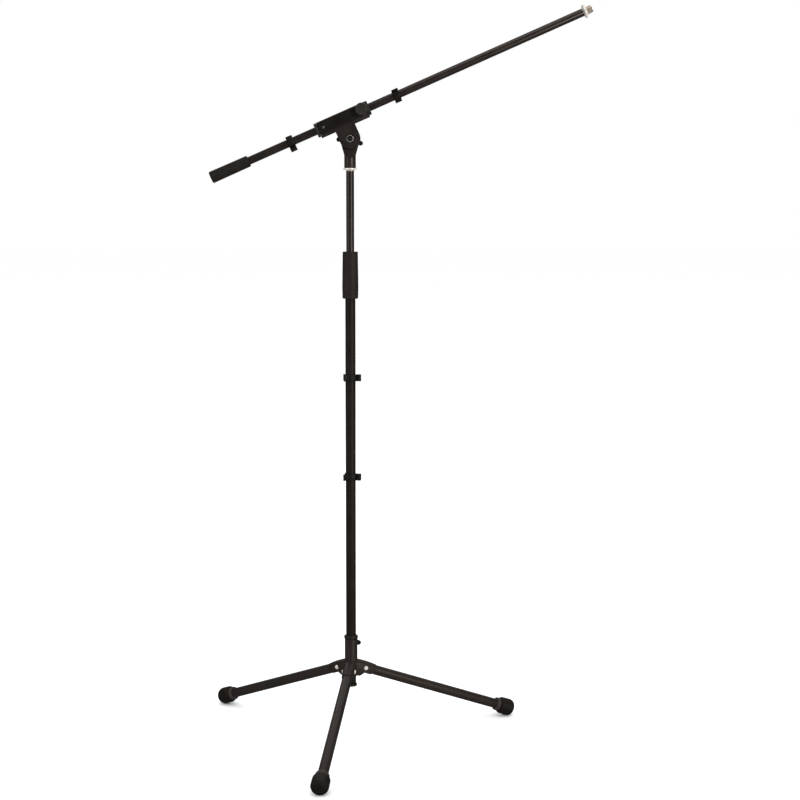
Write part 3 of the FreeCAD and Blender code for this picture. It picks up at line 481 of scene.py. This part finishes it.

# tilt bolt: the near-black colour is painted shade of its recess, and the pale ring past 5.8 mm is a
# painted highlight for the glints at its corners
boltShadeAndGlint = makeFinish("boltShadeAndGlint", turnedGroup, {
    "Dark": (0.008, 0.006, 0.005, 1), "Light": (0.50, 0.46, 0.43, 1), "Stains": 0.04,
    "Smooth": 0.20, "Rough": 0.34, "Grain": 4200.0, "Depth": 0.00001, "PaintedHighlightRadius": 0.0058,
}, {"Metallic": 0.5, "Specular IOR Level": 0.9})

threadPlate = makeFinish("threadPlate", turnedGroup, {
    "Dark": (0.62, 0.50, 0.38, 1), "Light": (0.92, 0.86, 0.78, 1),
    "Smooth": 0.14, "Rough": 0.24, "Grain": 5200.0, "Depth": 0.00001,
}, {"Metallic": 0.85})

brassTurned = makeFinish("brassTurned", turnedGroup, {
    "Dark": (0.50, 0.34, 0.14, 1), "Light": (0.72, 0.55, 0.27, 1),
    "Smooth": 0.18, "Rough": 0.34, "Grain": 5200.0, "Depth": 0.00001,
}, {"Metallic": 0.6})

nylonGrey = makeFinish("nylonGrey", mouldGroup, {
    "Dark": (0.12, 0.12, 0.115, 1), "Light": (0.20, 0.20, 0.19, 1),
    "Smooth": 0.35, "Rough": 0.5, "Grain": 2000.0, "Depth": 0.00002,
}, {"Specular IOR Level": 0.45})

pressedFibre = makeFinish("pressedFibre", rubberGroup, {
    "Dark": (0.07, 0.05, 0.038, 1), "Light": (0.14, 0.105, 0.08, 1),
    "Smooth": 0.7, "Rough": 0.85, "Grain": 1500.0, "Depth": 0.00006,
}, {"Specular IOR Level": 0.3})

toneFade = 0.0006      # width of the change between two tones


def darkerPastEdge(finish, name, way, edge, change):
    # the same finish, darker past an edge along one way of the seat
    material = finish.copy()
    material.name = name
    tree = material.node_tree
    place = next(n for n in tree.nodes if n.type == "ATTRIBUTE")
    effect = next(n for n in tree.nodes if n.type == "GROUP")
    parts = addNode(tree, "ShaderNodeSeparateXYZ", {0: place.outputs["Vector"]})
    share = rangeOf(tree, parts.outputs[way], edge - toneFade, edge, 0.0, 1.0)
    for socket in ("Dark", "Light"):
        before = list(effect.inputs[socket].default_value)
        tone = mixOf(tree, share, before, [c * change for c in before[:3]] + [1])
        tree.links.new(tone, effect.inputs[socket])
    return material


# local X of the boom's seat is up across the boom: the housing is painted darker than its ear, painted
# shade on the one casting
clampPaintedShade = darkerPastEdge(castCoat, "clampPaintedShade", 0, -0.0105, 0.45)

slotFinishes = {
    "tube_black": tubeCoat, "casting_black": castCoat, "plastic_black": plasticBlack,
    "grip_black": gripBlack, "rubber_black": rubberBlack, "nickel": nickelPlate,
    "zinc_steel": zincPlate, "brass_insert": brassTurned, "nylon_grey": nylonGrey,
    "fibre": pressedFibre,
}

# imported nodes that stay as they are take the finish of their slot
nodeFinishes = {slot: onObject(finish, finish.name + "Node") for slot, finish in slotFinishes.items()}
for node in nodes.values():
    slot = node.data.materials[0].name.split(".")[0]
    if slot not in nodeFinishes:
        print("no finish for slot", slot)
        continue
    node.data.materials[0] = nodeFinishes[slot]
print("finishes made:", len(slotFinishes))


# ---- tubes

tube = {"lip": 0.00035, "sides": 96, "steps": 3}


def makeTube(name, node, seat, wall, finish=tubeCoat):
    low, high, radius = spanOf(node, seat)
    lip = tube["lip"]
    rings = softened([
        (low, radius - wall / 2, 0), (low, radius, lip), (high, radius, lip),
        (high, radius - wall, lip), (low, radius - wall, lip), (low, radius - wall / 2, 0),
    ], tube["steps"])
    piece = turnPiece(name, seat, rings, tube["sides"])
    return finishPiece(piece, node, finish)


# ---- tripod

legTube = {"wall": 0.0012}
boot = {"bore": 0.01002, "mouth": 0.0128, "mouthHeight": 0.0012, "collar": 0.0140, "collarEnd": 0.0082,
        "groove": 0.0128, "grooveHalf": 0.0012, "shoulder": 0.0153, "shoulderEnd": 0.0016,
        "full": 0.0045, "fullest": 0.0130, "nose": 0.0092, "noseEnd": 0.0028, "noseIn": 0.0026,
        "tipIn": 0.0085, "tubeEnd": 0.008, "sides": 96, "steps": 5, "bodyTone": 0.16,
        "floorGap": 0.00001, "smooth": 40}
rivet = {"pin": 0.003, "head": 0.0046, "headHeight": 0.0022, "headRound": 0.0016, "dimple": 0.0011,
         "dimpleDepth": 0.0003, "dimpleRound": 0.0004, "crown": 0.0002, "sides": 48, "steps": 4}
tripodEdges = {"hub": 0.0007, "hubSteps": 3, "liner": 0.0003, "endCap": 0.0004}


def makeBoot(name, node, seat):
    start, end, body = spanOf(node, seat)
    bodyStart = start + boot["collarEnd"]
    rings = softened([
        (end - boot["tubeEnd"], pinhole, 0), (end - boot["tubeEnd"], boot["bore"], 0),
        (start, boot["bore"], 0.0004), (start, boot["mouth"], 0.0006),
        (start + boot["mouthHeight"], boot["collar"], 0.0008),
        (bodyStart - boot["grooveHalf"], boot["collar"], 0.0006),
        (bodyStart - 0.0002, boot["groove"], 0.0005),
        (bodyStart + boot["grooveHalf"], boot["groove"], 0.0005),
        (bodyStart + boot["shoulderEnd"], boot["shoulder"], 0.0008),
        (bodyStart + boot["full"], body - 0.0003, 0.002),
        (bodyStart + boot["fullest"], body, 0.003), (end - boot["nose"], body, 0.001),
        (end - boot["noseEnd"], body - boot["noseIn"], 0.003),
        (end - 0.0002, body - boot["tipIn"], 0.004), (end, pinhole, 0),
    ], boot["steps"])
    piece = turnPiece(name, seat, rings, boot["sides"])
    takeUp(piece)
    bpy.ops.object.mode_set(mode="EDIT")
    bpy.ops.mesh.select_all(action="SELECT")
    # flat where it stands
    bpy.ops.mesh.bisect(plane_co=(0, 0, boot["floorGap"]), plane_no=(0, 0, 1), clear_inner=True,
                        use_fill=True)
    bpy.ops.object.mode_set(mode="OBJECT")
    noteSeat(piece, seat)
    # the three boots share one finish, dark past the collar along the leg
    finish = bpy.data.materials.get("bootRubber")
    if not finish:
        finish = darkerPastEdge(collarRubber, "bootRubber", 2, bodyStart, boot["bodyTone"])
    return finishPiece(piece, node, finish, boot["smooth"])


def makeRivet(leg):
    seat = seatOn(pivotOf("leg_fold_" + leg), axisOf("leg_fold_" + leg), upward)
    ends = [seat.inverted() @ v.co for v in nodes["leg_rivets"].data.vertices]
    half = max(p.z for p in ends if p.length < rivet["head"] * 4)
    # one end, from the middle of its dimple out over the head and in to the pin
    ending = [
        (half - rivet["dimpleDepth"], pinhole, 0),
        (half - rivet["dimpleDepth"], rivet["dimple"], 0.0002),
        (half, rivet["dimple"] + rivet["dimpleRound"], 0.0003),
        (half - rivet["crown"], rivet["head"] - rivet["headRound"], 0.0012),
        (half - rivet["headHeight"], rivet["head"], 0.0006),
        (half - rivet["headHeight"], rivet["pin"], 0),
    ]
    opposite = [(-height, radius, rounding) for height, radius, rounding in ending]
    rings = softened(opposite + ending[::-1], rivet["steps"])
    return turnPiece("rivet_" + leg, seat, rings, rivet["sides"])


rivets = []
for leg in ("front", "right", "left"):
    pivot = pivotOf("leg_fold_" + leg)
    points = [v.co for v in nodes["leg_tube_" + leg].data.vertices]
    middle = sum(points, Vector()) / len(points)
    legSeat = seatOn(pivot, middle - pivot, axisOf("leg_fold_" + leg))
    makeTube("legTube_" + leg, "leg_tube_" + leg, legSeat, legTube["wall"], legCoat)
    makeBoot("boot_" + leg, "foot_boot_" + leg, legSeat)
    knuckle = copyNode("knuckle_" + leg, "leg_knuckle_" + leg, legSeat)
    finishPiece(knuckle, "leg_knuckle_" + leg, castCoat)
    rivets.append(makeRivet(leg))
finishPiece(joinInto(rivets[0], rivets[1:]), "leg_rivets", nickelPlate)
rivets[0].name = "legRivets"

hub = copyNode("hubCasting", "hub_casting", mastSeat, tripodEdges["hub"], tripodEdges["hubSteps"])
finishPiece(hub, "hub_casting", hubCoat)
liner = copyNode("hubLiner", "hub_liner", mastSeat, tripodEdges["liner"])
finishPiece(liner, "hub_liner", plasticBlack)
hubKnob = copyNode("hubKnob", "hub_knob", hubScrewSeat)
finishPiece(hubKnob, "hub_knob", plasticBlack)
endCap = copyNode("lowerEndCap", "lower_end_cap", mastSeat, tripodEdges["endCap"])
finishPiece(endCap, "lower_end_cap", plasticBlack)
print("tripod made")


# ---- mast

mastTubes = {"lowerWall": 0.0012, "upperWall": 0.001, "shellEdge": 0.0003}
ring = {"bore": 0.00481, "chamfer": 0.0006, "teeth": 72, "toothDepth": 0.02, "smooth": 25}

makeTube("lowerTube", "lower_tube", mastSeat, mastTubes["lowerWall"], mastCoat)
makeTube("upperTube", "upper_tube", mastSeat, mastTubes["upperWall"])
grip = copyNode("clutchGrip", "clutch_grip", mastSeat)
finishPiece(grip, "clutch_grip", gripBlack)
shell = copyNode("clutchShell", "clutch_shell", mastSeat, mastTubes["shellEdge"])
finishPiece(shell, "clutch_shell", plasticBlack)


def makeLockRing(name, node, seat):
    low, high, radius = spanOf(node, seat)
    cut = ring["chamfer"]
    rings = [
        (low, ring["bore"]), (low, radius - cut * 2), (low + cut * 0.4, radius - cut),
        (low + cut, radius), (high - cut, radius), (high - cut * 0.4, radius - cut),
        (high, radius - cut * 2), (high, ring["bore"]), (low, ring["bore"]),
    ]
    piece = turnPiece(name, seat, rings, 0, ring["teeth"], ring["toothDepth"])
    return finishPiece(piece, node, nickelPlate, ring["smooth"])


makeLockRing("headLockRing", "head_lock_ring", mastSeat)
print("mast made")


# ---- swivel head

headEdges = {"socket": 0.0006, "clamp": 0.0005, "bolt": 0.0003, "washer": 0.0002, "bush": 0.0003,
             "steps": 3}
socket = copyNode("swivelSocket", "swivel_socket", tiltSeat, headEdges["socket"], headEdges["steps"])
finishPiece(socket, "swivel_socket", collarCoat)
clamp = copyNode("clampBody", "clamp_body", boomSeat, headEdges["clamp"], headEdges["steps"])
finishPiece(clamp, "clamp_body", clampPaintedShade)
bolt = copyNode("tiltBolt", "tilt_bolt", tiltSeat, headEdges["bolt"])
finishPiece(bolt, "tilt_bolt", boltShadeAndGlint)
washer = copyNode("rearWasher", "rear_washer", tiltSeat, headEdges["washer"])
finishPiece(washer, "rear_washer", zincPlate)
handle = copyNode("tiltHandle", "tilt_handle", tiltSeat)
finishPiece(handle, "tilt_handle", plasticBlack)
pinLow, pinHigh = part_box("bush_pin")
pinSeat = seatOn((Vector(pinLow) + Vector(pinHigh)) / 2, -inward, boomAxis)
pin = copyNode("bushPin", "bush_pin", pinSeat)
finishPiece(pin, "bush_pin", pinSteel)
for side in ("left", "right"):
    bush = copyNode("boomBush_" + side, "boom_bush_" + side, boomSeat, headEdges["bush"])
    finishPiece(bush, "boom_bush_" + side, knobPlastic)

knob = {"flutes": 20, "fluteDepth": 0.02, "skirt": 0.0090, "neck": 0.0030, "edgeIn": 0.0004,
        "edgeHeight": 0.001, "crown": 0.0022, "dish": 0.0006, "dishRadius": 0.0088, "dishRim": 0.0006,
        "bore": 0.00302, "boreEnd": 0.0113, "steps": 4, "smooth": 38}


def makeBoomKnob():
    low, high, radius = spanOf("boom_knob", knobSeat)
    skirt = low + knob["neck"]
    rings = softened([
        (low + knob["boreEnd"], pinhole, 0), (low + knob["boreEnd"], knob["bore"], 0),
        (low, knob["bore"], 0), (low, knob["skirt"], 0.0004), (skirt, knob["skirt"], 0.0003),
        (skirt, radius - knob["edgeIn"], 0.0004), (skirt + knob["edgeHeight"], radius, 0.0006),
        (high - knob["crown"], radius, 0.001), (high, radius - knob["crown"], 0.0016),
        (high, knob["dishRadius"] + knob["dishRim"], 0.0004),
        (high - knob["dish"], knob["dishRadius"], 0.0005), (high - knob["dish"] / 2, pinhole, 0),
    ], knob["steps"])
    piece = turnPiece("boomKnob", knobSeat, rings, 0, knob["flutes"], knob["fluteDepth"])
    return finishPiece(piece, "boom_knob", knobPlastic, knob["smooth"])


makeBoomKnob()
print("head made")


# ---- boom

sleeve = {"bore": 0.00802, "round": 0.003, "taper": 0.0006, "plugEnd": 0.0034, "sides": 96, "steps": 6}
thread = {"root": 0.00735, "pitch": 0.000941, "steps": 40, "slot": 0.0022, "start": 0.0009,
          "ridge": 0.48, "sunk": 0.0002, "shift": 0.0001, "smooth": 30}
boomTube = {"wall": 0.001}

makeTube("boomTube", "boom_tube", boomSeat, boomTube["wall"])


def makeBoomGrip():
    low, high, radius = spanOf("boom_grip", boomSeat)
    rings = softened([
        (low + sleeve["plugEnd"], pinhole, 0), (low + sleeve["plugEnd"], sleeve["bore"], 0),
        (high, sleeve["bore"], 0), (high, radius - sleeve["taper"], sleeve["round"]),
        (low, radius, sleeve["round"]), (low, pinhole, 0),
    ], sleeve["steps"])
    piece = turnPiece("boomGrip", boomSeat, rings, sleeve["sides"])
    return finishPiece(piece, "boom_grip", rubberBlack)


def makeAdapter():
    low, high, radius = spanOf("thread_adapter", boomSeat)
    core = copyNode("threadAdapter", "thread_adapter", boomSeat)
    inverse = boomSeat.inverted()
    core.data.transform(inverse)
    for vertex in core.data.vertices:
        reach = math.hypot(vertex.co.x, vertex.co.y)
        if reach > thread["root"]:
            vertex.co.x *= thread["root"] / reach
            vertex.co.y *= thread["root"] / reach
    # one ridge of the thread, drawn round the core
    clearChoice()
    ridgeRadius = thread["pitch"] * thread["ridge"]
    bpy.ops.mesh.primitive_circle_add(vertices=4, radius=ridgeRadius, fill_type="NOTHING",
                                      rotation=(math.radians(90), 0, 0))
    ridge = bpy.context.object
    bpy.ops.object.transform_apply(location=False, rotation=True, scale=False)
    shift = thread["shift"]
    flank = (thread["root"] + radius) / 2 - shift * 2
    for vertex in ridge.data.vertices:
        # its crest, its foot sunk in the core, and two points of its flanks
        if vertex.co.x > shift:
            vertex.co.x = radius
        elif vertex.co.x < -shift:
            vertex.co.x = thread["root"] - thread["sunk"]
        else:
            vertex.co.x = flank
        vertex.co.z += low + thread["start"]
    turns = (high - low - thread["slot"] - thread["start"]) / thread["pitch"]
    screw = ridge.modifiers.new("thread", "SCREW")
    screw.axis = "Z"
    screw.angle = math.tau * turns
    screw.screw_offset = thread["pitch"] * turns
    screw.steps = int(thread["steps"] * turns)
    screw.render_steps = screw.steps
    screw.use_smooth_shade = False
    takeUp(ridge)
    bpy.ops.object.modifier_apply(modifier=screw.name)
    bpy.ops.object.mode_set(mode="EDIT")
    bpy.ops.mesh.select_all(action="SELECT")
    bpy.ops.mesh.fill_holes(sides=0)
    bpy.ops.mesh.select_all(action="SELECT")
    bpy.ops.mesh.normals_make_consistent(inside=False)
    bpy.ops.object.mode_set(mode="OBJECT")
    joinInto(core, [ridge])
    core.data.transform(boomSeat)
    noteSeat(core, boomSeat)
    return finishPiece(core, "thread_adapter", threadPlate, thread["smooth"])


makeBoomGrip()
makeLockRing("boomLockRing", "boom_lock_ring", boomSeat)
makeAdapter()
print("boom made")


# ---- cable clips

clipEdge = {"width": 0.0004, "steps": 2}
for place, seat in (("mast_clip_upper", mastSeat), ("mast_clip_lower", mastSeat),
                    ("boom_clip_left", boomSeat), ("boom_clip_right", boomSeat)):
    clip = copyNode(place + "_clip", place, seat, clipEdge["width"], clipEdge["steps"])
    finishPiece(clip, place, clipPlastic)
print("clips made")


# ---- floor, lights, camera

studio = {"floor": 60.0, "floorTone": 0.95, "floorRough": 0.9, "floorGloss": 0.1, "floorGleam": 0.10,
          "backdrop": 1.0, "fill": 1.1, "gleam": 0.03}

clearChoice()
bpy.ops.mesh.primitive_plane_add(size=studio["floor"] * 2, location=(0, 0, 0))
floor = bpy.context.object
floor.name = "floor"
paper = bpy.data.materials.new("paperFloor")
paper.use_nodes = True
sheet = paper.node_tree
matte = sheet.nodes["Principled BSDF"]
matte.inputs["Base Color"].default_value = (studio["floorTone"],) * 3 + (1,)
matte.inputs["Roughness"].default_value = studio["floorRough"]
matte.inputs["Specular IOR Level"].default_value = studio["floorGloss"]
dimmed = sheet.nodes.new("ShaderNodeEmission")    # what the black coat mirrors of the paper
dimmed.inputs["Strength"].default_value = studio["floorGleam"]
paperRay = sheet.nodes.new("ShaderNodeLightPath")
either = sheet.nodes.new("ShaderNodeMixShader")
sheet.links.new(paperRay.outputs["Is Glossy Ray"], either.inputs[0])
sheet.links.new(matte.outputs[0], either.inputs[1])
sheet.links.new(dimmed.outputs[0], either.inputs[2])
sheet.links.new(either.outputs[0], sheet.nodes["Material Output"].inputs["Surface"])
floor.data.materials.append(paper)

world = bpy.data.worlds.new("whiteRoom")
bpy.context.scene.world = world
world.use_nodes = True
room = world.node_tree
room.nodes.clear()
ray = room.nodes.new("ShaderNodeLightPath")
shown = room.nodes.new("ShaderNodeBackground")
lit = room.nodes.new("ShaderNodeBackground")
mirrored = room.nodes.new("ShaderNodeBackground")
for background, share in ((shown, "backdrop"), (lit, "fill"), (mirrored, "gleam")):
    background.inputs["Color"].default_value = (1, 1, 1, 1)
    background.inputs["Strength"].default_value = studio[share]
glossy = room.nodes.new("ShaderNodeMixShader")
seen = room.nodes.new("ShaderNodeMixShader")
out = room.nodes.new("ShaderNodeOutputWorld")
room.links.new(ray.outputs["Is Glossy Ray"], glossy.inputs[0])
room.links.new(lit.outputs[0], glossy.inputs[1])
room.links.new(mirrored.outputs[0], glossy.inputs[2])
room.links.new(ray.outputs["Is Camera Ray"], seen.inputs[0])
room.links.new(glossy.outputs[0], seen.inputs[1])
room.links.new(shown.outputs[0], seen.inputs[2])
room.links.new(seen.outputs[0], out.inputs["Surface"])

lamps = {
    # name: (place, aim, width, height, watts)
    "stripBox": ((2.3, -2.6, 1.15), (0.0, 0.0, 0.95), 0.55, 2.4, 38.0),
    "leftBox": ((-3.0, -1.6, 1.6), (0.0, 0.0, 0.8), 0.9, 1.8, 14.0),
    "topBox": ((0.3, -0.6, 3.4), (0.0, 0.0, 0.6), 2.2, 1.6, 18.0),
    "backBox": ((0.0, 3.2, 3.2), (0.0, -0.1, 0.1), 6.0, 3.4, 60.0),
}
for name, (place, aim, width, height, watts) in lamps.items():
    lamp = bpy.data.lights.new(name, "AREA")
    lamp.shape = "RECTANGLE"
    lamp.size = width
    lamp.size_y = height
    lamp.energy = watts
    holder = bpy.data.objects.new(name, lamp)
    bpy.context.scene.collection.objects.link(holder)
    holder.location = place
    holder.rotation_euler = (Vector(aim) - Vector(place)).to_track_quat("-Z", "Y").to_euler()

view = {"place": (-0.00004, -3.25298, 1.05837), "down": 6.26, "turn": -1.776, "roll": 0.067,
        "lens": 72.2, "sensor": 36, "farthest": 100}
camera = bpy.data.objects.new("camera", bpy.data.cameras.new("camera"))
bpy.context.scene.collection.objects.link(camera)
camera.location = view["place"]
camera.rotation_euler = (math.radians(90 - view["down"]), 0, math.radians(view["turn"]))
camera.rotation_euler.rotate_axis("Z", math.radians(view["roll"]))
camera.data.lens = view["lens"]
camera.data.sensor_width = view["sensor"]
camera.data.clip_end = view["farthest"]
bpy.context.scene.camera = camera
bpy.context.scene.view_settings.view_transform = "Standard"
print("studio set")
